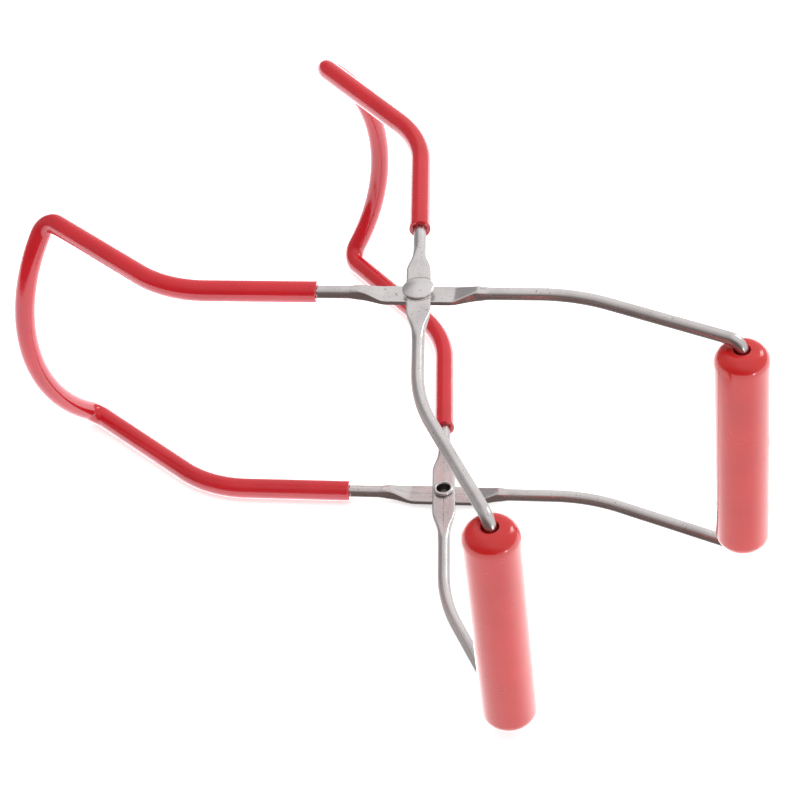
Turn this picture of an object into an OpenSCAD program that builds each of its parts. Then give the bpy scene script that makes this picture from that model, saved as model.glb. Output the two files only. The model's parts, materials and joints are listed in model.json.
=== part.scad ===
// Jar lifter: two identical bent wire frames, the second one turned over,
// crossed like scissors on two coaxial rivets. It lies on its side, so that
// the hinge axis is vertical. +X points from the jaws to the grips, and the
// origin is on the surface it lies on, under the middle of its bounding box.

/* [Wire] */
// Diameter of the steel wire
wire_d = 4.1; // [3.8:0.1:4.4]
// Distance between the two side wires of a frame, centre to centre
frame_w = 90; // [84:1:96]
// Opening angle between the straight parts of the two frames
open_angle = 83; // [40:1:140]

/* [Jaw] */
// Distance from the hinge axis to the corner of the jaw bend
jaw_run = 83; // [78:1:90]
// Length from the corner of the jaw bend to the corner of the jaw
jaw_leg = 62; // [56:1:68]
// Angle by which the jaw leg turns towards the other jaw
jaw_bend = 36.5; // [30:0.5:38]
// Centreline radius of the jaw bend
jaw_bend_r = 40; // [20:1:45]
// Angle between the two ends of the jaw's curved crosspiece and the hinge axis
jaw_flare = 42; // [34:1:48]
// Centreline radius of the tight corners at both ends of the crosspiece
jaw_corner_r = 6; // [5:0.5:8]

/* [Handle] */
// Distance from the hinge axis to the corner of the handle bend
handle_run = 50; // [46:1:56]
// Length from the corner of the handle bend to the axis of the grip
handle_leg = 56.5; // [50:0.5:62]
// Angle by which the handle leg turns towards the other handle
handle_bend = 22; // [16:0.5:24]
// Centreline radius of the handle bend
handle_bend_r = 60; // [30:1:70]
// Centreline radius of the tight turn down into the grip
grip_turn_r = 4; // [3.5:0.1:4.3]
// Length of straight wire end inside the grip
wire_end = 20; // [12:1:28]

/* [Pressed flats] */
// Length over which the wire is pressed, ramps included
flat_len = 38; // [36:1:42]
// Length pressed to the full width and thickness
flat_core = 23; // [20:1:24]
// Greatest width of the pressed wire
flat_w = 7.8; // [7.4:0.1:8.4]
// Thickness of the pressed wire
flat_t = 1.8; // [1.6:0.1:2]

/* [Jaw sleeves] */
// Outer diameter of the sleeve
sleeve_d = 7.1; // [6.5:0.1:8]
// Distance from the hinge axis to each cut end of the sleeve
sleeve_start = 33; // [28:1:40]

/* [Grips] */
// Diameter of the grip
grip_d = 17.5; // [15:0.5:20]
// Length of the grip
grip_len = 84; // [76:0.5:84]
// Radius of the rounded edge at each end of the grip
grip_round = 4.8; // [3:0.1:5]

/* [Rivets] */
// Diameter of the rivet shank
shank_d = 4.8; // [4:0.1:5]
// Diameter of the rivet head
head_d = 10.2; // [9:0.1:10.8]
// Height of the rivet head
head_h = 1.6; // [1.2:0.1:1.8]
// Outer diameter of the rolled tail
tail_d = 7; // [6.4:0.1:7.4]
// Diameter of the blind hole in the tail
tail_hole_d = 3.4; // [2.8:0.1:3.6]

/* [Hidden] */
$fn = 64;

// Gap between the two pressed flats of a pivot
pivot_gap = 0.1;
// Gap between a pressed flat and the head or the rolled tail of its rivet
rivet_gap = 0.05;
// Radial running clearance of the frame that turns on the rivets
pivot_clearance = 0.08;
// Radial clearance of a tight rivet, and of a sleeve on its wire
tight_clearance = 0.01;
sleeve_clearance = 0.05;
// Radial running clearance of a grip on the wire ends
grip_clearance = 0.07;
// Radius and depth of the countersunk mouth of a grip's bore
mouth_r = 2.7;
mouth_depth = 3;
// Thickness of a rivet head at its rim
head_rim = 0.6;
// How far the rolled lip of a rivet's tail reaches into the shank
lip_overlap = 0.2;
// Depth of the blind hole in a rivet's tail, of its drilled tip and of its mouth
tail_hole_depth = 3.4;
tail_hole_tip = 0.8;
tail_mouth_depth = 0.9;
// How far the mouth of that hole stays inside the middle of the rolled lip
tail_mouth_inset = 0.1;
// Overlap of shapes that are drawn as one
overlap = 0.01;
// Steps of the smooth widening at each end of a pressed flat, and how far
// inside the core it starts
flat_steps = 8;
flat_lead = 2;
// Round wire left at each end of a pressed flat, outside its ramps
flat_collar = 0.5;
// Half length of the band over each joint of a path, and how far it stands proud
band_half = 0.1;
band_proud = 0.02;

wire_r = wire_d / 2;
half_open = open_angle / 2;

// Thickness of the rolled lip of a rivet's tail
lip_d = (tail_d - shank_d) / 2 + lip_overlap;

// A pressed flat is flush with one side of the wire. The frame is moved by
// this much along the hinge axis so that the flats of both frames meet
// halfway between them.
flat_offset = wire_r - flat_t - pivot_gap / 2;

// Straight length that a bend of a given radius and angle takes from each leg
function tangent(r, a) = r * tan(a / 2);

// Radius of the jaw's crosspiece, which joins both corners with one arc
crosspiece_r = (frame_w / 2 - jaw_corner_r * cos(jaw_flare)) / sin(jaw_flare);

// Grip axis and jaw corner, seen along the hinge axis, of the frame at +half_open
grip_x = handle_run * cos(half_open) + handle_leg * cos(half_open - handle_bend);
jaw_x = jaw_run * cos(half_open) + jaw_leg * cos(half_open - jaw_bend);

// Place of the hinge axis, half way up, in the part's own frame
hinge_x = (jaw_x + sleeve_d / 2 - grip_x - grip_d / 2) / 2;
hinge_z = frame_w / 2 + flat_offset + sleeve_d / 2;

// ---- Round bar drawn as a path: each piece starts where the last one ends ----

// Cross-section of the wire, or of a sleeve around it
module section(d, bore) {
    difference() {
        circle(d = d);
        if (bore > 0)
            circle(d = bore);
    }
}

// Band a hair proud of the surface, which makes the pieces it joins one solid
module band(d, bore) {
    inner = bore > 0 ? bore / 2 : band_proud;
    rotate([0, 90, 0])
        rotate_extrude()
            polygon([
                [inner - band_proud, 0],
                [bore > 0 ? inner + band_proud : 0, band_half],
                [d / 2 - band_proud, band_half],
                [d / 2 + band_proud, 0],
                [d / 2 - band_proud, -band_half],
                [bore > 0 ? inner + band_proud : 0, -band_half]
            ]);
}

// Straight length along +X
module straight(len, d, bore = 0) {
    rotate([90, 0, 90])
        linear_extrude(len)
            section(d, bore);
    translate([len, 0, 0])
        children();
}

// Bend that starts along +X and turns to +Y, with a band where it ends
module bend(r, a, d, bore = 0) {
    translate([0, r, 0])
        rotate([0, 0, -90])
            rotate_extrude(angle = a)
                translate([r, 0])
                    section(d, bore);
    translate([0, r, 0])
        rotate([0, 0, a])
            translate([0, -r, 0]) {
                band(d, bore);
                children();
            }
}

// Turns the rest of the path about its own axis
module roll(a) {
    rotate([a, 0, 0])
        children();
}

// ---- Paths of a frame that lies along X, with the hinge axis at X = 0 ----

// Jaw side, from the upper side wire through the crosspiece to the lower one
module jaw_path(start, d, bore = 0) {
    gone = tangent(jaw_bend_r, jaw_bend);
    run = jaw_run - gone - start;
    leg = jaw_leg - gone - jaw_corner_r;
    translate([-start, 0, frame_w / 2])
        rotate([0, 0, 180])
            roll(180)
                straight(run, d, bore)
                    bend(jaw_bend_r, jaw_bend, d, bore)
                        straight(leg, d, bore) {
                            band(d, bore);
                            roll(90 + jaw_flare)
                                bend(jaw_corner_r, 90, d, bore)
                                    roll(-90)
                                        crosspiece_path(run, leg, d, bore);
                        }
}

// Second part of the jaw side, from the crosspiece on
module crosspiece_path(run, leg, d, bore) {
    bend(crosspiece_r, 2 * jaw_flare, d, bore)
        roll(90)
            bend(jaw_corner_r, 90, d, bore)
                roll(-90 - jaw_flare)
                    straight(leg, d, bore)
                        bend(jaw_bend_r, jaw_bend, d, bore)
                            straight(run, d, bore)
                                children();
}

// Handle side, from the upper side wire to the wire's end inside the grip
module handle_path(start, d) {
    gone = tangent(handle_bend_r, handle_bend);
    translate([start, 0, frame_w / 2])
        roll(180)
            straight(handle_run - gone - start, d)
                bend(handle_bend_r, handle_bend, d)
                    straight(handle_leg - gone - grip_turn_r, d)
                        roll(90)
                            bend(grip_turn_r, 90, d)
                                straight(wire_end, d);
}

// ---- Pressed flat of one side wire, along X, with its rivet hole ----

// Radius of the swollen wire before its top and bottom are pressed flat
function swollen_r(i) = wire_r + (flat_w / 2 - wire_r) * (1 + cos(180 * i / flat_steps)) / 2;

// Distance from the hinge axis of step i of the widening
function swollen_x(i) =
    flat_core / 2 - flat_lead + (flat_len / 2 - flat_core / 2 + flat_lead) * i / flat_steps;

module pressed_flat(hole_d) {
    end_x = flat_len / 2 + flat_collar;
    difference() {
        intersection() {
            rotate([0, 90, 0])
                rotate_extrude()
                    rotate(90)
                        polygon(concat(
                            [[-end_x, 0], [-end_x, -wire_r]],
                            [for (i = [flat_steps:-1:0]) [-swollen_x(i), -swollen_r(i)]],
                            [for (i = [0:flat_steps]) [swollen_x(i), -swollen_r(i)]],
                            [[end_x, -wire_r], [end_x, 0]]
                        ));
            rotate([90, 0, 0])
                linear_extrude(flat_w + 2, center = true)
                    polygon([
                        [-end_x - 1, -wire_r],
                        [end_x + 1, -wire_r],
                        [end_x + 1, wire_r],
                        [flat_len / 2, wire_r],
                        [flat_core / 2, flat_t - wire_r],
                        [-flat_core / 2, flat_t - wire_r],
                        [-flat_len / 2, wire_r],
                        [-end_x - 1, wire_r]
                    ]);
        }
        cylinder(d = hole_d, h = 3 * wire_d, center = true);
    }
}

// One bent wire with its two pressed flats
module wire_frame(hole_clearance) {
    path_start = flat_len / 2 + flat_collar;
    for (side = [-1, 1])
        translate([0, 0, side * frame_w / 2])
            pressed_flat(shank_d + 2 * hole_clearance);
    jaw_path(path_start, wire_d);
    translate([-path_start, 0, -frame_w / 2])
        band(wire_d, 0);
    for (turned = [0, 1])
        mirror([0, 0, turned])
            handle_path(path_start, wire_d);
}

// Soft sleeve over the jaw, both of its corners and part of both side wires
module jaw_sleeve() {
    jaw_path(sleeve_start, sleeve_d, wire_d + 2 * sleeve_clearance);
}

// Solid round grip with a bore for the two wire ends and countersunk mouths
module grip() {
    bore_r = wire_r + grip_clearance;
    translate([
        handle_run + handle_leg * cos(handle_bend),
        -handle_leg * sin(handle_bend),
        0
    ])
        rotate_extrude() {
            difference() {
                union() {
                    translate([0, -grip_len / 2])
                        square([grip_d / 2 - grip_round, grip_len]);
                    translate([0, grip_round - grip_len / 2])
                        square([grip_d / 2, grip_len - 2 * grip_round]);
                    for (side = [-1, 1])
                        translate([grip_d / 2 - grip_round, side * (grip_len / 2 - grip_round)])
                            circle(r = grip_round);
                }
                translate([-grip_d, -grip_len])
                    square([grip_d + bore_r, 2 * grip_len]);
                for (side = [0, 1])
                    mirror([0, side])
                        polygon([
                            [0, grip_len / 2 - mouth_depth],
                            [bore_r, grip_len / 2 - mouth_depth],
                            [mouth_r, grip_len / 2],
                            [mouth_r, grip_len],
                            [0, grip_len]
                        ]);
            }
        }
}

// Semi-tubular rivet: domed head up, and its tail rolled over below.
// z = 0 is where the two flats meet.
module rivet() {
    grip_half = flat_t + pivot_gap / 2;
    head_z = grip_half + rivet_gap;
    tail_z = -grip_half - lip_d / 2 - rivet_gap;
    dome_h = head_h - head_rim;
    dome_r = (pow(head_d / 2, 2) + pow(dome_h, 2)) / (2 * dome_h);
    lip_r = tail_d / 2 - lip_d / 2;
    rotate_extrude() {
        // Head with a shallow dome
        translate([0, head_z])
            square([head_d / 2, head_rim]);
        intersection() {
            translate([0, head_z + head_h - dome_r])
                circle(r = dome_r, $fn = 256);
            translate([0, head_z + head_rim - overlap])
                square([head_d / 2, head_h]);
        }
        // Shank with a blind hole in its tail, and the rolled lip round the hole
        difference() {
            union() {
                translate([0, tail_z])
                    square([shank_d / 2, head_z - tail_z + overlap]);
                translate([lip_r, tail_z])
                    circle(d = lip_d, $fn = 32);
            }
            polygon([
                [-1, tail_z - lip_d],
                [lip_r, tail_z - lip_d],
                [lip_r - tail_mouth_inset, tail_z],
                [tail_hole_d / 2, tail_z + tail_mouth_depth],
                [tail_hole_d / 2, tail_z + tail_hole_depth - tail_hole_tip],
                [0, tail_z + tail_hole_depth],
                [-1, tail_z + tail_hole_depth]
            ]);
        }
    }
}

// ---- Placing ----

// Frame B is turned by half the opening, with its flats on the lower side
module place_b() {
    translate([hinge_x, 0, hinge_z])
        rotate([0, 0, half_open])
            translate([0, 0, flat_offset])
                children();
}

// Frame A is frame B turned over about the length of the tongs
module place_a() {
    translate([hinge_x, 0, hinge_z])
        rotate([180, 0, 0])
            rotate([0, 0, half_open])
                translate([0, 0, flat_offset])
                    children();
}

module wire_frame_a() {
    color("silver")
        place_a()
            wire_frame(pivot_clearance);
}

module wire_frame_b() {
    color("silver")
        place_b()
            wire_frame(tight_clearance);
}

module jaw_sleeve_a() {
    color("crimson")
        place_a()
            jaw_sleeve();
}

module jaw_sleeve_b() {
    color("crimson")
        place_b()
            jaw_sleeve();
}

module grip_a() {
    color("indianred")
        place_a()
            translate([0, 0, -flat_offset])
                grip();
}

module grip_b() {
    color("indianred")
        place_b()
            translate([0, 0, -flat_offset])
                grip();
}

module rivet_upper() {
    color("lightgray")
        translate([hinge_x, 0, hinge_z + frame_w / 2])
            rivet();
}

module rivet_lower() {
    color("lightgray")
        translate([hinge_x, 0, hinge_z - frame_w / 2])
            rotate([180, 0, 0])
                rivet();
}

wire_frame_a();
wire_frame_b();
jaw_sleeve_a();
jaw_sleeve_b();
grip_a();
grip_b();
rivet_upper();
rivet_lower();
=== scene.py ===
import json
import math

import bmesh
import bpy
from mathutils import Matrix, Vector

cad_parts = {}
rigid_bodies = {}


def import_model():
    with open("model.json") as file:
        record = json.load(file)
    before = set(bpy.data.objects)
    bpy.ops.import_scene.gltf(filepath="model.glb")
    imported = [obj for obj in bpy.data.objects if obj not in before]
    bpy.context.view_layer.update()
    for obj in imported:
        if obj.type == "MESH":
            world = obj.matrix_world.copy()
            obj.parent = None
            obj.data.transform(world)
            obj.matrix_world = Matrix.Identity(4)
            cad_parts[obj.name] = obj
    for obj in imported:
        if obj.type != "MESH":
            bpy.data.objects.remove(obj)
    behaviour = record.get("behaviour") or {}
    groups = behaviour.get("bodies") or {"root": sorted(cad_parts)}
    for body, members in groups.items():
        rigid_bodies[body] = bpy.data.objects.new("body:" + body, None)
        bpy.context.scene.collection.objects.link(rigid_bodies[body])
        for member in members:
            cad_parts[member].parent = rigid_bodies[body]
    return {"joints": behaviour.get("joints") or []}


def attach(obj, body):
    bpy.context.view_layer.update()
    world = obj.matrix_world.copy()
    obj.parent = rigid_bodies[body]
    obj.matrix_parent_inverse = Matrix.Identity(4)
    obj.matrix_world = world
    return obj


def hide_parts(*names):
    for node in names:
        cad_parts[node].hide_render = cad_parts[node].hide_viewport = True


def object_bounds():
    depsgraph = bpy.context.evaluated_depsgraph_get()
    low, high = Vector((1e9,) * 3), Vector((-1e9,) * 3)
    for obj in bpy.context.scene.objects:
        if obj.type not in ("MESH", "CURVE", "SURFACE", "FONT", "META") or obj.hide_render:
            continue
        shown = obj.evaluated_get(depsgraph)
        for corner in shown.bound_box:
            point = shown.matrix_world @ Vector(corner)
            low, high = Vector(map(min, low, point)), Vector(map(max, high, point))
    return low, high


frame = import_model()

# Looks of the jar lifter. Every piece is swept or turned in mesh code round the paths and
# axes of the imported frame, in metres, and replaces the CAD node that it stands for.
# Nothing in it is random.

cad_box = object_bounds()

MM = 0.001

# ---- Driving sizes, as in the CAD model ----
WIRE_R = 2.05 * MM
FRAME_W = 90 * MM
JAW_RUN = 83 * MM
JAW_LEG = 62 * MM
JAW_BEND = math.radians(36.5)
JAW_BEND_R = 40 * MM
JAW_FLARE = math.radians(42)
JAW_CORNER_R = 6 * MM
HANDLE_RUN = 50 * MM
HANDLE_LEG = 56.5 * MM
HANDLE_BEND = math.radians(22)
HANDLE_BEND_R = 60 * MM
GRIP_TURN_R = 4 * MM
WIRE_END = 20 * MM
FLAT_LEN = 38 * MM
FLAT_CORE = 23 * MM
FLAT_LEAD = 2 * MM
FLAT_HALF_W = 3.9 * MM
FLAT_T = 1.8 * MM
PIVOT_GAP = 0.1 * MM
RIVET_GAP = 0.05 * MM
SLEEVE_R = 3.55 * MM
SLEEVE_BORE_R = 2.1 * MM
SLEEVE_START = 33 * MM
GRIP_R = 8.75 * MM
GRIP_LEN = 84 * MM
GRIP_ROUND = 4.8 * MM
GRIP_BORE_R = 2.12 * MM
GRIP_MOUTH_R = 2.7 * MM
GRIP_MOUTH_DEPTH = 3 * MM
SHANK_R = 2.4 * MM
HOLE_GAP = {"a": 0.08 * MM, "b": 0.01 * MM}
HEAD_R = 5.1 * MM
HEAD_H = 1.6 * MM
HEAD_RIM = 0.6 * MM
TAIL_R = 3.5 * MM
LIP_R = 0.65 * MM
TAIL_HOLE_R = 1.7 * MM
TAIL_HOLE_DEPTH = 3.4 * MM

# ---- Detail that only the looks have ----
STEP = 1.0 * MM            # between the rings of a straight bar
JAW_BEND_STEP = 0.7 * MM
CORNER_STEP = 0.25 * MM
CROSSPIECE_STEP = 0.8 * MM
GRIP_TURN_STEP = 0.2 * MM
HANDLE_BEND_STEP = 0.8 * MM
FLAT_STEP = 0.4 * MM
FLAT_SPAN = 26 * MM        # to each side of the hinge, where the rings are close
FLAT_BLEND = 4 * MM        # beyond the ramp, where the flat's section fades into a circle
FLAT_POWER = 8             # squareness of the flat's section, which is 2 for a circle
WIRE_SIDES = 48
SLEEVE_SIDES = 56
GRIP_SIDES = 112
RIVET_SIDES = 72
HOLE_SIDES = 64
SHARP = math.radians(60)   # edges at the drilled holes
SLEEVE_LIP = 0.28 * MM     # radius of the outer edge of a sleeve's cut end
SLEEVE_BURR = 0.06 * MM    # how far its inner edge is pulled back
GRIP_LIP = 0.12 * MM       # radius of the edge of a grip's mouth
HEAD_EDGE = 0.18 * MM      # radius of the rim of a rivet head
HEAD_OVAL = 0.12 * MM      # how much a set head is narrower one way
LIP_WAVE = 0.05 * MM       # unevenness of a rolled lip
AXIS_R = 0.01 * MM         # a ring that stands for a point on the axis

# Marks on the flats, in a frame's own axes
RING_R = (5.75 * MM, 5.95 * MM)
RING_Z = (46 * MM, 60 * MM)
CREASE_HALF_W = 0.09 * MM
CREASE_X = (-17 * MM, 16 * MM)
CREASE_Z = (-60 * MM, -42.5 * MM)

Z = Vector((0, 0, 1))

# ---- Places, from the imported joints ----
joints = {j["name"]: j for j in frame["joints"]}
hinge = Vector(joints["jaw_hinge"]["pos_m"])
grip_axis_a = Vector(joints["grip_a_spin"]["pos_m"])
grip_axis_b = Vector(joints["grip_b_spin"]["pos_m"])

# Grip axis of a frame that lies along X with the hinge at X = 0
grip_local = Vector((
    HANDLE_RUN + HANDLE_LEG * math.cos(HANDLE_BEND),
    -HANDLE_LEG * math.sin(HANDLE_BEND),
    0,
))
reach = grip_axis_b - hinge
half_open = math.atan2(reach.y, reach.x) - math.atan2(grip_local.y, grip_local.x)
flat_offset = WIRE_R - FLAT_T - PIVOT_GAP / 2

TURN = Matrix.Rotation(half_open, 4, "Z") @ Matrix.Translation((0, 0, flat_offset))
PLACE = {
    "b": Matrix.Translation(hinge) @ TURN,
    "a": Matrix.Translation(hinge) @ Matrix.Rotation(math.pi, 4, "X") @ TURN,
}


# ---- Paths ----
class Path:
    """Samples of a bent bar: points, headings, normals and the length run so far."""

    def __init__(self, start, heading, normal):
        self.at = Vector(start)
        self.heading = Vector(heading).normalized()
        self.normal = Vector(normal).normalized()
        self.run = 0.0
        self.samples = [(self.at.copy(), self.heading.copy(), self.normal.copy(), 0.0)]

    def keep(self):
        self.samples.append((self.at.copy(), self.heading.copy(), self.normal.copy(), self.run))

    def straight(self, length, step):
        count = max(1, round(length / step))
        for _ in range(count):
            self.at = self.at + self.heading * (length / count)
            self.run += length / count
            self.keep()
        return self

    def bend(self, radius, angle, axis, step):
        axis = Vector(axis).normalized()
        centre = self.at + axis.cross(self.heading) * radius
        count = max(2, round(radius * angle / step))
        turn = Matrix.Rotation(angle / count, 3, axis)
        for _ in range(count):
            self.at = centre + turn @ (self.at - centre)
            self.heading = (turn @ self.heading).normalized()
            self.normal = (turn @ self.normal).normalized()
            self.run += radius * angle / count
            self.keep()
        return self


def tangent(radius, angle):
    return radius * math.tan(angle / 2)


def jaw_half(path, start):
    """From `start` along the jaw side wire to the middle of the crosspiece."""
    gone = tangent(JAW_BEND_R, JAW_BEND)
    path.straight(JAW_RUN - gone - start, STEP)
    path.bend(JAW_BEND_R, JAW_BEND, -Z, JAW_BEND_STEP)
    path.straight(JAW_LEG - gone - JAW_CORNER_R, STEP)
    leg = path.heading.copy()
    outward = Z.cross(leg)
    down = outward * math.sin(JAW_FLARE) - Z * math.cos(JAW_FLARE)
    path.bend(JAW_CORNER_R, math.pi / 2, leg.cross(down), CORNER_STEP)
    crosspiece_r = (FRAME_W / 2 - JAW_CORNER_R * math.cos(JAW_FLARE)) / math.sin(JAW_FLARE)
    path.bend(crosspiece_r, JAW_FLARE, -leg, CROSSPIECE_STEP)
    return path


def wire_half():
    """From the wire's end inside the grip to the middle of the crosspiece."""
    gone = tangent(HANDLE_BEND_R, HANDLE_BEND)
    inward = Vector((-math.cos(HANDLE_BEND), math.sin(HANDLE_BEND), 0))
    start = grip_local + Z * (FRAME_W / 2 - GRIP_TURN_R - WIRE_END)
    path = Path(start, Z, -inward)
    path.straight(WIRE_END, STEP)
    path.bend(GRIP_TURN_R, math.pi / 2, Z.cross(inward), GRIP_TURN_STEP)
    path.straight(HANDLE_LEG - gone - GRIP_TURN_R, STEP)
    path.bend(HANDLE_BEND_R, HANDLE_BEND, Z, HANDLE_BEND_STEP)
    path.straight(HANDLE_RUN - gone - FLAT_SPAN, STEP)
    path.straight(2 * FLAT_SPAN, FLAT_STEP)
    return jaw_half(path, FLAT_SPAN)


def sleeve_half():
    """From the sleeve's upper cut end to the middle of the crosspiece."""
    path = Path((-SLEEVE_START, 0, FRAME_W / 2), (-1, 0, 0), Z)
    return jaw_half(path, SLEEVE_START)


# ---- Sections ----
def smooth(x):
    x = min(max(x, 0.0), 1.0)
    return x * x * (3 - 2 * x)


def pressed(x, dy, dz):
    """Moves a point of the round wire, beside the hinge at distance x, onto the pressed flat."""
    x = abs(x)
    ease = (x - FLAT_CORE / 2 + FLAT_LEAD) / (FLAT_LEN / 2 - FLAT_CORE / 2 + FLAT_LEAD)
    ease = min(max(ease, 0.0), 1.0)
    half_w = WIRE_R + (FLAT_HALF_W - WIRE_R) * (1 + math.cos(math.pi * ease)) / 2
    ramp = min(max((FLAT_LEN / 2 - x) / (FLAT_LEN / 2 - FLAT_CORE / 2), 0.0), 1.0)
    # The ramp has soft, but visible, edges
    ramp = 0.75 * ramp + 0.25 * smooth(ramp)
    top = WIRE_R - (2 * WIRE_R - FLAT_T) * ramp
    half_h = (top + WIRE_R) / 2
    square = smooth((FLAT_LEN / 2 + FLAT_BLEND - x) / (2.5 * FLAT_BLEND))
    power = 2 + (FLAT_POWER - 2) * square
    angle = math.atan2(dz, dy)
    c, s = math.cos(angle), math.sin(angle)
    across = math.copysign(abs(c) ** (2 / power), c) * half_w
    up = math.copysign(abs(s) ** (2 / power), s) * half_h
    return across, up - WIRE_R + half_h


def rings_of(path, radius, sides, shape=None):
    """One ring of points for each sample, on both mirrored halves of a frame."""
    upper = []
    for at, heading, normal, _ in path.samples:
        across = heading.cross(normal)
        ring = []
        for k in range(sides):
            a = 2 * math.pi * k / sides
            ring.append(at + normal * (radius * math.cos(a)) + across * (radius * math.sin(a)))
        upper.append(ring)
    lower = [[Vector((p.x, p.y, -p.z)) for p in ring] for ring in reversed(upper[:-1])]
    rings = upper + lower
    if shape:
        rings = [[shape(p) for p in ring] for ring in rings]
    return rings


def press_point(p):
    """Presses points beside the hinge flat, and leaves all others alone."""
    near = 5 * MM
    side = math.copysign(FRAME_W / 2, p.z)
    past_ramp = abs(p.x) > FLAT_LEN / 2 + FLAT_BLEND
    if past_ramp or abs(p.z) < FRAME_W / 2 - near or abs(p.y) > near:
        return p
    across, up = pressed(p.x, p.y, p.z - side)
    return Vector((p.x, across, side + up))


def runs_of(path):
    """Length run at each ring of both halves, which reads the same from either end."""
    upper = [s[3] for s in path.samples]
    total = 2 * upper[-1]
    return upper + [total - r for r in reversed(upper[:-1])]


def make_mesh(name, rings, runs, loop=False):
    """Skins rings into a mesh with a UV map in metres, along the bar and round it.

    A loop joins the last ring to the first. Otherwise both ends are closed by a face.
    """
    sides = len(rings[0])
    verts = [p for ring in rings for p in ring]
    faces = []
    uvs = []
    girth = 2 * math.pi * WIRE_R
    count = len(rings)
    last = count if loop else count - 1
    for i in range(last):
        n = (i + 1) % count
        for k in range(sides):
            m = (k + 1) % sides
            faces.append((i * sides + k, i * sides + m, n * sides + m, n * sides + k))
            u0, u1 = runs[i], runs[n]
            v0, v1 = girth * k / sides, girth * (k + 1) / sides
            uvs.append(((u0, v0), (u0, v1), (u1, v1), (u1, v0)))
    if not loop:
        faces.append(tuple(range(sides - 1, -1, -1)))
        faces.append(tuple((count - 1) * sides + k for k in range(sides)))
        uvs.append(tuple((runs[0], girth * k / sides) for k in range(sides - 1, -1, -1)))
        uvs.append(tuple((runs[-1], girth * k / sides) for k in range(sides)))
    mesh = bpy.data.meshes.new(name)
    mesh.from_pydata(verts, [], faces)
    layer = mesh.uv_layers.new(name="path")
    flat = [c for face in uvs for uv in face for c in uv]
    layer.data.foreach_set("uv", flat)
    bm = bmesh.new()
    bm.from_mesh(mesh)
    bmesh.ops.recalc_face_normals(bm, faces=bm.faces)
    bm.to_mesh(mesh)
    bm.free()
    mesh.polygons.foreach_set("use_smooth", [True] * len(mesh.polygons))
    obj = bpy.data.objects.new(name, mesh)
    bpy.context.scene.collection.objects.link(obj)
    return obj


def lathe(profile, segments, wobble=None):
    """Turns a closed or axis-to-axis profile of (radius, height) points round Z."""
    rings = []
    runs = []
    run = 0.0
    before = None
    for r, z in profile:
        if before:
            run += math.dist(before, (r, z))
        before = (r, z)
        runs.append(run)
        ring = []
        for k in range(segments):
            a = 2 * math.pi * k / segments
            dr, dz = wobble(a, r, z) if wobble else (0.0, 0.0)
            ring.append(Vector(((r + dr) * math.cos(a), (r + dr) * math.sin(a), z + dz)))
        rings.append(ring)
    return rings, runs


def arc_points(cx, cz, radius, a0, a1, count):
    """Points of an arc in the profile plane, angles in degrees from +radius."""
    pts = []
    for i in range(count + 1):
        a = math.radians(a0 + (a1 - a0) * i / count)
        pts.append((cx + radius * math.cos(a), cz + radius * math.sin(a)))
    return pts


# ---- Pieces ----
def make_wire(which):
    path = wire_half()
    rings = rings_of(path, WIRE_R, WIRE_SIDES, press_point)
    obj = make_mesh("steel_wire_" + which, rings, runs_of(path))
    obj.data.transform(PLACE[which])
    drill(obj, SHANK_R + HOLE_GAP[which])
    return obj


def drill(obj, radius):
    """Cuts the rivet holes of both flats, along the hinge axis."""
    reach_z = FRAME_W / 2 + 5 * MM
    rings, runs = lathe([(radius, hinge.z - reach_z), (radius, hinge.z + reach_z)], HOLE_SIDES)
    cutter = make_mesh("cutter", rings, runs)
    cutter.data.transform(Matrix.Translation((hinge.x, hinge.y, 0)))
    cut = obj.modifiers.new("rivet_holes", "BOOLEAN")
    cut.object = cutter
    cut.operation = "DIFFERENCE"
    cut.solver = "EXACT"
    bpy.context.view_layer.update()
    graph = bpy.context.evaluated_depsgraph_get()
    drilled = bpy.data.meshes.new_from_object(obj.evaluated_get(graph))
    obj.modifiers.clear()
    obj.data = drilled
    drilled.set_sharp_from_angle(angle=SHARP)
    bpy.data.objects.remove(cutter)


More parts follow.
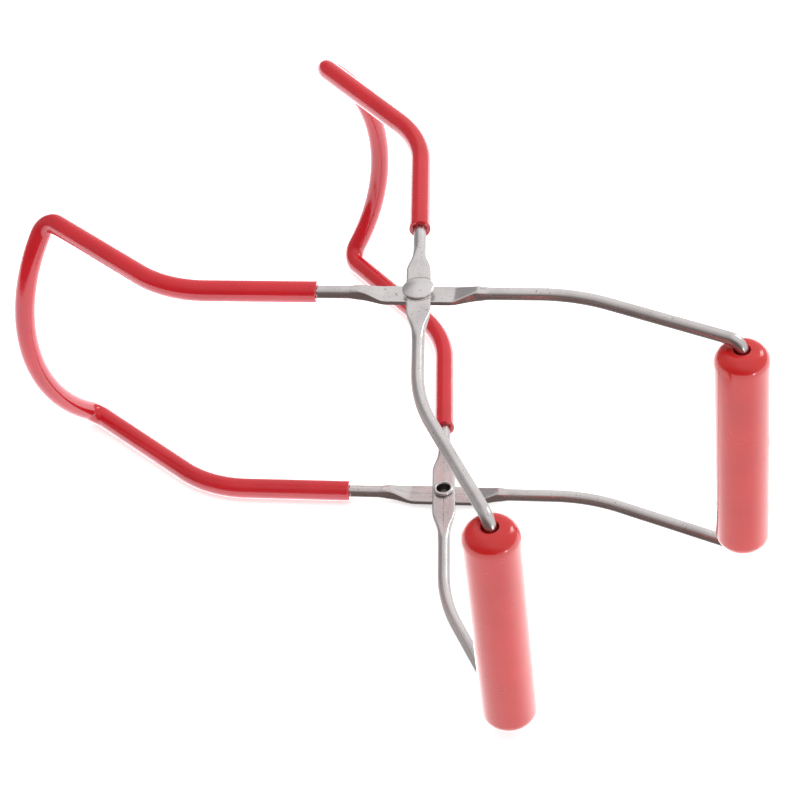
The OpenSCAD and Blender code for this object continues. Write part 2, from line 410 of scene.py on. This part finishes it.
def make_sleeve(which):
    """A tube with rounded, slightly uneven cut ends and an open rim round the wire."""
    path = sleeve_half()
    outer = rings_of(path, SLEEVE_R, SLEEVE_SIDES)
    inner = rings_of(path, SLEEVE_BORE_R, SLEEVE_SIDES)
    runs = runs_of(path)
    wall = SLEEVE_R - SLEEVE_BORE_R
    # Share of the wall crossed and depth behind the cut, from the outside in
    lip_profile = [(0.0, SLEEVE_LIP)]
    for degrees in (20, 45, 70, 90):
        a = math.radians(degrees)
        lip_profile.append((SLEEVE_LIP * (1 - math.cos(a)) / wall, SLEEVE_LIP * (1 - math.sin(a))))
    lip_profile += [(0.6, 0.0), (1 - SLEEVE_BURR / wall, 0.0), (1.0, SLEEVE_BURR)]

    def uneven(ring, seed, direction, depth):
        out = []
        for k, p in enumerate(ring):
            a = 2 * math.pi * k / SLEEVE_SIDES
            cut = 0.16 * math.cos(a + seed) + 0.09 * math.sin(3 * a + 2 * seed)
            cut += 0.05 * math.sin(7 * a + 5 * seed)
            out.append(p + direction * (cut * MM * depth))
        return out

    # Both cut ends face the hinge, each with its own unevenness
    inward = Vector((-1, 0, 0))
    caps = []
    for end, near, seed in zip((0, -1), (1, -2), (1.0, 3.1) if which == "a" else (2.3, 4.4)):
        for rings in (outer, inner):
            rings[end] = uneven(rings[end], seed, inward, 1.0)
            rings[near] = uneven(rings[near], seed, inward, 0.5)
        caps.append([
            [o + (i - o) * across + inward * depth for o, i in zip(outer[end], inner[end])]
            for across, depth in lip_profile
        ])
    start_cap, end_cap = list(reversed(caps[0])), caps[1]
    rings = start_cap + outer[1:-1] + end_cap + list(reversed(inner[1:-1]))
    run_list = [runs[0]] * len(start_cap) + runs[1:-1] + [runs[-1]] * len(end_cap)
    run_list += list(reversed(runs[1:-1]))
    obj = make_mesh("sleeve_skin_" + which, rings, run_list, loop=True)
    obj.data.transform(PLACE[which])
    return obj


def make_grip(which, axis):
    """A turned grip with full round ends, countersunk mouths and its bore."""
    half = GRIP_LEN / 2
    edge = GRIP_R - GRIP_ROUND
    mouth = GRIP_MOUTH_R + GRIP_LIP
    top = arc_points(edge, half - GRIP_ROUND, GRIP_ROUND, 0, 90, 18)
    top += [(edge * t + mouth * (1 - t), half) for t in (0.66, 0.33)]
    top += arc_points(mouth, half - GRIP_LIP, GRIP_LIP, 90, 180, 5)
    top += [
        (GRIP_MOUTH_R - 0.1 * MM, half - 0.7 * MM),
        (GRIP_BORE_R + 0.15 * MM, half - GRIP_MOUTH_DEPTH + 0.2 * MM),
        (GRIP_BORE_R, half - GRIP_MOUTH_DEPTH),
    ]
    wall = [(GRIP_R, z * MM) for z in range(-36, 37, 3)]
    bore = [(GRIP_BORE_R, z * MM) for z in range(36, -37, -3)]
    bottom = [(r, -z) for r, z in reversed(top)]
    profile = wall + top + bore + bottom
    rings, runs = lathe(profile, GRIP_SIDES)
    obj = make_mesh("grip_body_" + which, rings, runs, loop=True)
    obj.data.transform(Matrix.Translation((axis.x, axis.y, hinge.z)))
    return obj


def make_rivet(which, flip):
    """A semi-tubular rivet: peened dome, shank, and a rolled tail round a blind hole."""
    grip_half = FLAT_T + PIVOT_GAP / 2
    head_z = grip_half + RIVET_GAP
    tail_z = -grip_half - LIP_R - RIVET_GAP
    dome_h = HEAD_H - HEAD_RIM
    dome_r = (HEAD_R ** 2 + dome_h ** 2) / (2 * dome_h)
    dome_c = head_z + HEAD_H - dome_r
    rim = HEAD_R - HEAD_EDGE
    spread = math.degrees(math.asin(rim / dome_r))
    profile = arc_points(0, dome_c, dome_r, 90, 90 - spread, 16)
    profile[0] = (AXIS_R, profile[0][1])
    profile += arc_points(rim, head_z + HEAD_RIM - HEAD_EDGE, HEAD_EDGE, 60, 0, 3)
    profile += arc_points(rim, head_z + HEAD_EDGE, HEAD_EDGE, 0, -90, 3)
    profile += [(SHANK_R + 0.2 * MM, head_z), (SHANK_R, head_z - 0.1 * MM)]
    profile += [(SHANK_R, tail_z + LIP_R + 0.1 * MM)]
    lip_c = TAIL_R - LIP_R
    profile += arc_points(lip_c, tail_z, LIP_R, 90, -125, 18)
    cavity = len(profile)
    profile += [
        (lip_c - 0.5 * MM, tail_z + 0.1 * MM),
        (TAIL_HOLE_R + 0.55 * MM, tail_z + 0.6 * MM),
        (TAIL_HOLE_R + 0.4 * MM, tail_z + 1.5 * MM),
        (TAIL_HOLE_R + 0.2 * MM, tail_z + TAIL_HOLE_DEPTH - 0.8 * MM),
        (TAIL_HOLE_R * 0.6, tail_z + TAIL_HOLE_DEPTH - 0.35 * MM),
        (AXIS_R, tail_z + TAIL_HOLE_DEPTH - 0.5 * MM),
    ]

    def wobble(a, r, z):
        # The set head is a little oval, and the rolled lip a little uneven
        if z > head_z:
            return -HEAD_OVAL * (r / HEAD_R) * (1 + math.cos(2 * a + 0.6)) / 2, 0.0
        if r > TAIL_HOLE_R and z < tail_z + LIP_R:
            return -LIP_WAVE * (1 + math.cos(6 * a)) / 2, 0.0
        return 0.0, 0.0

    rings, runs = lathe(profile, RIVET_SIDES, wobble)
    obj = make_mesh("rivet_body_" + which, rings, runs)
    obj.data.materials.append(rivet_steel)
    # The faces of the blind hole take a much darker copy of the steel: painted shade in the recess
    obj.data.materials.append(cavity_painted_shade)
    for polygon in list(obj.data.polygons)[cavity * RIVET_SIDES:]:
        polygon.material_index = 1
    # Of the two small faces on the axis, which come last, the first is on top of the dome
    obj.data.polygons[len(obj.data.polygons) - 2].material_index = 0
    place = Matrix.Translation(hinge + Z * (FRAME_W / 2 * (-1 if flip else 1)))
    if flip:
        place = place @ Matrix.Rotation(math.pi, 4, "X")
    obj.data.transform(place)
    return obj


# ---- Materials ----
def new_material(name):
    mat = bpy.data.materials.new(name)
    mat.use_nodes = True
    tree = mat.node_tree
    shader = tree.nodes["Principled BSDF"]
    return mat, tree, shader


def node(tree, kind, **values):
    made = tree.nodes.new(kind)
    for key, value in values.items():
        if key in made.inputs:
            made.inputs[key].default_value = value
        else:
            setattr(made, key, value)
    return made


def ramp_node(tree, source, stops):
    """Colour ramp with (position, grey or colour) stops, fed by a socket."""
    ramp = tree.nodes.new("ShaderNodeValToRGB")
    elements = ramp.color_ramp.elements
    while len(elements) < len(stops):
        elements.new(0.5)
    for element, (position, value) in zip(elements, stops):
        element.position = position
        colour = value if isinstance(value, tuple) else (value, value, value)
        element.color = (*colour, 1)
    tree.links.new(source, ramp.inputs[0])
    return ramp.outputs[0]


def path_coordinates(tree, along, around):
    """UV coordinates in metres, scaled differently along the bar and round it."""
    uv = node(tree, "ShaderNodeUVMap", uv_map="path")
    mapping = node(tree, "ShaderNodeMapping")
    mapping.inputs["Scale"].default_value = (along, around, 1)
    tree.links.new(uv.outputs[0], mapping.inputs[0])
    return mapping.outputs[0]


def noise_node(tree, vector, scale, detail=3.0, rough=0.55):
    made = node(tree, "ShaderNodeTexNoise", Scale=scale, Detail=detail, Roughness=rough)
    tree.links.new(vector, made.inputs["Vector"])
    return made.outputs[0]


def math_node(tree, operation, a, b):
    made = node(tree, "ShaderNodeMath", operation=operation)
    for socket, value in zip(made.inputs, (a, b)):
        if isinstance(value, (int, float)):
            socket.default_value = value
        else:
            tree.links.new(value, socket)
    return made.outputs[0]


def mix_colour(tree, factor, a, b, blend="MIX"):
    made = node(tree, "ShaderNodeMix", data_type="RGBA", blend_type=blend)
    pairs = ((made.inputs[0], factor), (made.inputs[6], a), (made.inputs[7], b))
    for socket, value in pairs:
        if isinstance(value, (int, float)):
            socket.default_value = value
        elif isinstance(value, tuple):
            socket.default_value = (*value, 1)
        else:
            tree.links.new(value, socket)
    return made.outputs[2]


def frame_coordinates(tree, position, which):
    """Separate X, Y and Z in the frame's own axes, with the hinge axis at zero."""
    centred = node(tree, "ShaderNodeVectorMath", operation="SUBTRACT")
    tree.links.new(position, centred.inputs[0])
    centred.inputs[1].default_value = hinge
    turned = node(tree, "ShaderNodeVectorRotate", rotation_type="Z_AXIS")
    tree.links.new(centred.outputs[0], turned.inputs["Vector"])
    turned.inputs["Angle"].default_value = half_open if which == "a" else -half_open
    axes = node(tree, "ShaderNodeSeparateXYZ")
    tree.links.new(turned.outputs[0], axes.inputs[0])
    return axes.outputs


def band_mask(tree, value, low, high, soft):
    """1 where the value is between low and high, with soft edges."""
    rise = node(tree, "ShaderNodeMapRange", interpolation_type="SMOOTHSTEP")
    fall = node(tree, "ShaderNodeMapRange", interpolation_type="SMOOTHSTEP")
    for made, start, end in ((rise, low - soft, low + soft), (fall, high + soft, high - soft)):
        made.inputs["From Min"].default_value = min(start, end)
        made.inputs["From Max"].default_value = max(start, end)
        made.inputs["To Min"].default_value = 0.0 if start < end else 1.0
        made.inputs["To Max"].default_value = 1.0 if start < end else 0.0
        tree.links.new(value, made.inputs[0])
    return math_node(tree, "MULTIPLY", rise.outputs[0], fall.outputs[0])


def press_marks(tree, position, which):
    """Mark of the riveting tool beside the head, and a fine crease along the lower flat."""
    x, y, z = frame_coordinates(tree, position, which)
    soft_z = 0.2 * MM
    x_squared = math_node(tree, "MULTIPLY", x, x)
    y_squared = math_node(tree, "MULTIPLY", y, y)
    away = math_node(tree, "SQRT", math_node(tree, "ADD", x_squared, y_squared), 0.0)
    ring = band_mask(tree, away, *RING_R, 0.12 * MM)
    ring = math_node(tree, "MULTIPLY", ring, band_mask(tree, z, *RING_Z, soft_z))
    patchy = ramp_node(tree, noise_node(tree, position, 260, 2.0, 0.5), ((0.38, 0.15), (0.55, 1.0)))
    crease = band_mask(tree, y, -CREASE_HALF_W, CREASE_HALF_W, 0.06 * MM)
    crease = math_node(tree, "MULTIPLY", crease, band_mask(tree, x, *CREASE_X, 2 * MM))
    crease = math_node(tree, "MULTIPLY", crease, band_mask(tree, z, *CREASE_Z, soft_z))
    crease = math_node(tree, "MULTIPLY", crease, patchy)
    return math_node(tree, "MAXIMUM", ring, crease)


def steel_material(name, tone, rough, which=None):
    """Drawn stainless steel: fine lengthwise lines, small pits, and smudges."""
    mat, tree, shader = new_material(name)
    lines = noise_node(tree, path_coordinates(tree, 60, 4200), 1.0, 4.0, 0.65)
    position = node(tree, "ShaderNodeTexCoord").outputs["Object"]
    spots = noise_node(tree, position, 900, 4.0, 0.7)
    clouds = noise_node(tree, position, 70, 3.0, 0.55)
    pits = ramp_node(tree, spots, ((0.0, 1.0), (0.31, 1.0), (0.38, 0.0), (1.0, 0.0)))
    dark = tuple(c * 0.62 for c in tone)
    light = tuple(min(1.0, c * 1.12) for c in tone)
    base = mix_colour(tree, ramp_node(tree, lines, ((0.3, 0.0), (0.72, 1.0))), tone, light)
    base = mix_colour(tree, ramp_node(tree, clouds, ((0.45, 0.0), (0.75, 0.5))), base, dark)
    if which:
        pits = math_node(tree, "MAXIMUM", pits, press_marks(tree, position, which))
    base = mix_colour(tree, pits, base, tuple(c * 0.35 for c in tone))
    tree.links.new(base, shader.inputs["Base Color"])
    shader.inputs["Metallic"].default_value = 1.0
    roughness = math_node(tree, "ADD", math_node(tree, "MULTIPLY", lines, 0.16), rough)
    roughness = math_node(tree, "ADD", roughness, math_node(tree, "MULTIPLY", clouds, 0.10))
    tree.links.new(roughness, shader.inputs["Roughness"])
    bump = node(tree, "ShaderNodeBump", Strength=0.35, Distance=0.03 * MM)
    tree.links.new(lines, bump.inputs["Height"])
    dents = node(tree, "ShaderNodeBump", Strength=0.5, Distance=0.04 * MM)
    tree.links.new(math_node(tree, "SUBTRACT", 1.0, pits), dents.inputs["Height"])
    tree.links.new(bump.outputs[0], dents.inputs["Normal"])
    tree.links.new(dents.outputs[0], shader.inputs["Normal"])
    return mat


def plastic_material(name, tone, deep, rough):
    """Glossy coloured plastic: slight colour clouds, orange peel, smudges and scuffs."""
    mat, tree, shader = new_material(name)
    position = node(tree, "ShaderNodeTexCoord").outputs["Object"]
    clouds = noise_node(tree, position, 45, 3.0, 0.5)
    fine = noise_node(tree, position, 650, 3.0, 0.6)
    smudge = noise_node(tree, position, 120, 5.0, 0.65)
    base = mix_colour(tree, ramp_node(tree, clouds, ((0.35, 0.0), (0.65, 1.0))), tone, deep)
    tree.links.new(base, shader.inputs["Base Color"])
    smeared = ramp_node(tree, smudge, ((0.5, 0.0), (0.72, 1.0)))
    roughness = math_node(tree, "ADD", math_node(tree, "MULTIPLY", smeared, 0.16), rough)
    tree.links.new(roughness, shader.inputs["Roughness"])
    bump = node(tree, "ShaderNodeBump", Strength=0.25, Distance=0.01 * MM)
    tree.links.new(math_node(tree, "ADD", fine, smudge), bump.inputs["Height"])
    tree.links.new(bump.outputs[0], shader.inputs["Normal"])
    shader.inputs["IOR"].default_value = 1.5
    shader.inputs["Specular IOR Level"].default_value = 0.5
    shader.inputs["Subsurface Weight"].default_value = 0.12
    shader.inputs["Subsurface Radius"].default_value = (1.0, 0.12, 0.1)
    shader.inputs["Subsurface Scale"].default_value = 1.5 * MM
    shader.inputs["Coat Weight"].default_value = 0.1
    shader.inputs["Coat Roughness"].default_value = 0.06
    return mat


def finish_piece(obj, material, body, cad_node):
    """Gives a piece its body, and its material if it has none yet, and hides the CAD node that it
    replaces.
    """
    if not obj.data.materials:
        obj.data.materials.append(material)
    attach(obj, body)
    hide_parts(cad_node)


# ---- Build ----
wire_steel = {w: steel_material("drawn_steel_" + w, (0.62, 0.595, 0.59), 0.13, w) for w in "ab"}
rivet_steel = steel_material("rivet_steel", (0.64, 0.62, 0.62), 0.16)
# A dark copy of the rivet steel for the inside of the blind hole: painted shade, not a different
# metal
cavity_painted_shade = steel_material("rivet_cavity_steel", (0.17, 0.155, 0.15), 0.22)
sleeve_red = plastic_material("sleeve_vinyl", (0.50, 0.010, 0.018), (0.43, 0.007, 0.013), 0.14)
grip_red = plastic_material("grip_plastic", (0.50, 0.014, 0.014), (0.44, 0.010, 0.010), 0.17)

for which, grip_axis in (("a", grip_axis_a), ("b", grip_axis_b)):
    body = "frame_" + which
    finish_piece(make_wire(which), wire_steel[which], body, "wire_frame_" + which)
    finish_piece(make_sleeve(which), sleeve_red, body, "jaw_sleeve_" + which)
    finish_piece(make_grip(which, grip_axis), grip_red, "grip_" + which, "grip_" + which)
for which in ("upper", "lower"):
    rivet = make_rivet(which, which == "lower")
    finish_piece(rivet, rivet_steel, "frame_b", "rivet_" + which)

# ---- Studio ----
low, high = (Vector(c) for c in cad_box)
middle = (low + high) / 2

# The dome is bright, with a dim side, a dark corner and a small dim spot, which light the
# object and show in it, but which the camera doesn't see. Each patch has its direction, the
# cosines of the angles at which it starts and is full, and its colour.
SKY = (1.02, 1.0, 1.0)
PATCHES = (
    ((-0.568, -0.804, 0.174), 0.1, 0.8, (0.56, 0.54, 0.53)),
    ((0.380, -0.823, -0.423), 0.0, 0.75, (0.19, 0.145, 0.135)),
    ((-0.947, 0.086, 0.309), 0.84, 0.97, (0.38, 0.37, 0.38)),
)


# Below the object: the lights at table level, and the floor under them
TABLE_DROP = 0.1 * MM
FLOOR_DROP = 0.2 * MM
FLOOR_HALF = 4.0
TABLE_SIZE = (4.0, 4.0)


def make_floor():
    mesh = bpy.data.meshes.new("floor")
    half, z = FLOOR_HALF, low.z - FLOOR_DROP
    corners = [(-half, -half, z), (half, -half, z), (half, half, z), (-half, half, z)]
    mesh.from_pydata(corners, [], [(0, 1, 2, 3)])
    floor = bpy.data.objects.new("floor", mesh)
    bpy.context.scene.collection.objects.link(floor)
    mat, tree, shader = new_material("floor_paper")
    geometry = node(tree, "ShaderNodeNewGeometry")
    grain = noise_node(tree, geometry.outputs["Position"], 400, 2.0, 0.5)
    paper = mix_colour(tree, grain, (0.90, 0.90, 0.90), (0.93, 0.93, 0.93))
    tree.links.new(paper, shader.inputs["Base Color"])
    shader.inputs["Roughness"].default_value = 0.9
    # A light table: its own glow lifts the contact shadows
    shader.inputs["Emission Color"].default_value = (1, 1, 1, 1)
    shader.inputs["Emission Strength"].default_value = 0.5
    mesh.materials.append(mat)
    # Metal would mirror the white paper all along its underside
    floor.visible_glossy = False


def area_light(name, place, aim, size, power, colour=(1, 1, 1)):
    """Rectangular light at a place, which shines towards the point it aims at."""
    light = bpy.data.lights.new(name, "AREA")
    light.shape = "RECTANGLE"
    light.size, light.size_y = size
    light.energy = power
    light.color = colour
    obj = bpy.data.objects.new(name, light)
    obj.location = place
    obj.rotation_euler = (Vector(place) - Vector(aim)).to_track_quat("Z", "Y").to_euler()
    bpy.context.scene.collection.objects.link(obj)
    return obj


def make_world():
    world = bpy.data.worlds.new("studio")
    world.use_nodes = True
    tree = world.node_tree
    background = tree.nodes["Background"]
    direction = node(tree, "ShaderNodeTexCoord").outputs["Generated"]
    colour = SKY
    for towards, start, full, tint in PATCHES:
        facing = node(tree, "ShaderNodeVectorMath", operation="DOT_PRODUCT")
        tree.links.new(direction, facing.inputs[0])
        facing.inputs[1].default_value = towards
        spread = node(tree, "ShaderNodeMapRange", interpolation_type="SMOOTHSTEP")
        spread.inputs["From Min"].default_value = start
        spread.inputs["From Max"].default_value = full
        tree.links.new(facing.outputs["Value"], spread.inputs[0])
        colour = mix_colour(tree, spread.outputs[0], colour, tint)
    # Behind the floor, the camera itself sees a plain pale wall
    seen = node(tree, "ShaderNodeLightPath").outputs["Is Camera Ray"]
    colour = mix_colour(tree, seen, colour, SKY)
    tree.links.new(colour, background.inputs[0])
    bpy.context.scene.world = world


def make_camera():
    """Camera placed by azimuth, elevation and roll round a point near the object's middle."""
    azimuth, elevation, roll = math.radians(54.770), math.radians(42.153), math.radians(-7.910)
    distance = 0.76755
    aim = Vector((0.00714, -0.00809, 0.04875))
    back = Vector((
        math.sin(azimuth) * math.cos(elevation),
        -math.cos(azimuth) * math.cos(elevation),
        math.sin(elevation),
    ))
    right = (-back).cross(Z).normalized()
    up = right.cross(-back)
    turned = right * math.cos(roll) + up * math.sin(roll)
    upright = back.cross(turned)
    data = bpy.data.cameras.new("camera")
    data.sensor_width = 36
    data.lens = 104.245
    data.clip_start = 0.05
    camera = bpy.data.objects.new("camera", data)
    basis = Matrix((turned, upright, back)).transposed()
    camera.matrix_world = Matrix.Translation(aim + back * distance) @ basis.to_4x4()
    bpy.context.scene.collection.objects.link(camera)
    bpy.context.scene.camera = camera


make_floor()
make_world()
soft = area_light("soft", (0, 0, 1.5), middle, (2.0, 2.0), 16)
soft.visible_glossy = False
area_light("key", (0.1, 1.0, 0.65), middle, (0.30, 0.30), 2.5)
area_light("glint", (0.65, 0.03, 0.03), middle, (0.05, 0.05), 0.25)

# White table, as the plastic parts mirror it, and the light that it throws on the soft sleeves
below = Vector((0, 0, low.z - TABLE_DROP))
for name, prefix, power, colour, glow in (
    ("table_grips", "grip_body", 100, (1, 1, 1), 0),
    ("table_sleeves", "sleeve_skin", 125, (1, 0.97, 1.04), 18),
):
    lit = bpy.data.collections.new(prefix + "_lit")
    for obj in list(bpy.data.objects):
        if obj.name.startswith(prefix):
            lit.objects.link(obj)
    table = area_light(name, below, Z, TABLE_SIZE, power, colour)
    table.visible_camera = table.visible_diffuse = table.visible_transmission = False
    table.light_linking.receiver_collection = lit
    if glow:
        throw = area_light(name + "_glow", below, Z, TABLE_SIZE, glow)
        throw.visible_camera = throw.visible_glossy = throw.visible_transmission = False
        throw.light_linking.receiver_collection = lit

make_camera()
bpy.context.scene.view_settings.view_transform = "Standard"
